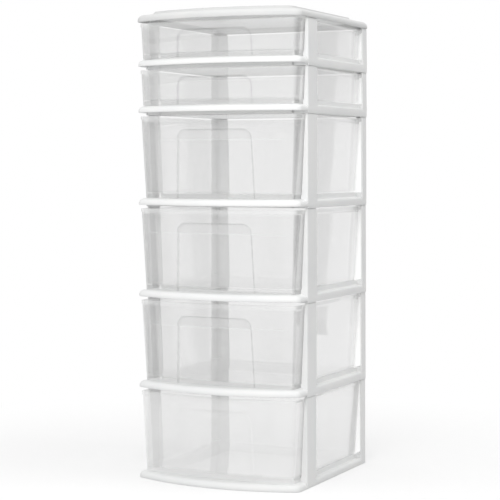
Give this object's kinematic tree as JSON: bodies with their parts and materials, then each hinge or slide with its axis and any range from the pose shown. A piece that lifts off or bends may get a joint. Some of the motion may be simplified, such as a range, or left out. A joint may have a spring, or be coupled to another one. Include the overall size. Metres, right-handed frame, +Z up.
{
  "type": "storage drawer tower",
  "caption": "Freestanding plastic drawer tower with bowed fronts: stacked shelf frames on corner posts carry open-topped clear drawers that slide out forward, under a flat-topped lid.",
  "frame": {"origin": "on the floor, below the middle of the tower's width and depth", "axes": "+X is the tower's right as seen from the front, +Y is the back, +Z is up; the drawers slide out along -Y"},
  "size_m": [0.332, 0.36, 0.8634],
  "materials": {
    "white_plastic": "white moulded polypropylene with a soft gloss",
    "clear_plastic": "clear moulded polystyrene, slightly hazy"
  },
  "bodies": {
    "tower": {"lid": "white_plastic", "frame_1": "white_plastic", "frame_2": "white_plastic", "frame_3": "white_plastic", "frame_4": "white_plastic", "frame_5": "white_plastic", "frame_6": "white_plastic"},
    "drawer_1": {"drawer_1": "clear_plastic"},
    "drawer_2": {"drawer_2": "clear_plastic"},
    "drawer_3": {"drawer_3": "clear_plastic"},
    "drawer_4": {"drawer_4": "clear_plastic"},
    "drawer_5": {"drawer_5": "clear_plastic"},
    "drawer_6": {"drawer_6": "clear_plastic"}
  },
  "joints": [
    {"name": "drawer_1_slide", "type": "slide", "parent": "tower", "child": "drawer_1", "axis": [0, -1, 0], "range_m": [0, 0.25]},
    {"name": "drawer_2_slide", "type": "slide", "parent": "tower", "child": "drawer_2", "axis": [0, -1, 0], "range_m": [0, 0.25]},
    {"name": "drawer_3_slide", "type": "slide", "parent": "tower", "child": "drawer_3", "axis": [0, -1, 0], "range_m": [0, 0.25]},
    {"name": "drawer_4_slide", "type": "slide", "parent": "tower", "child": "drawer_4", "axis": [0, -1, 0], "range_m": [0, 0.25]},
    {"name": "drawer_5_slide", "type": "slide", "parent": "tower", "child": "drawer_5", "axis": [0, -1, 0], "range_m": [0, 0.25]},
    {"name": "drawer_6_slide", "type": "slide", "parent": "tower", "child": "drawer_6", "axis": [0, -1, 0], "range_m": [0, 0.25]}
  ]
}
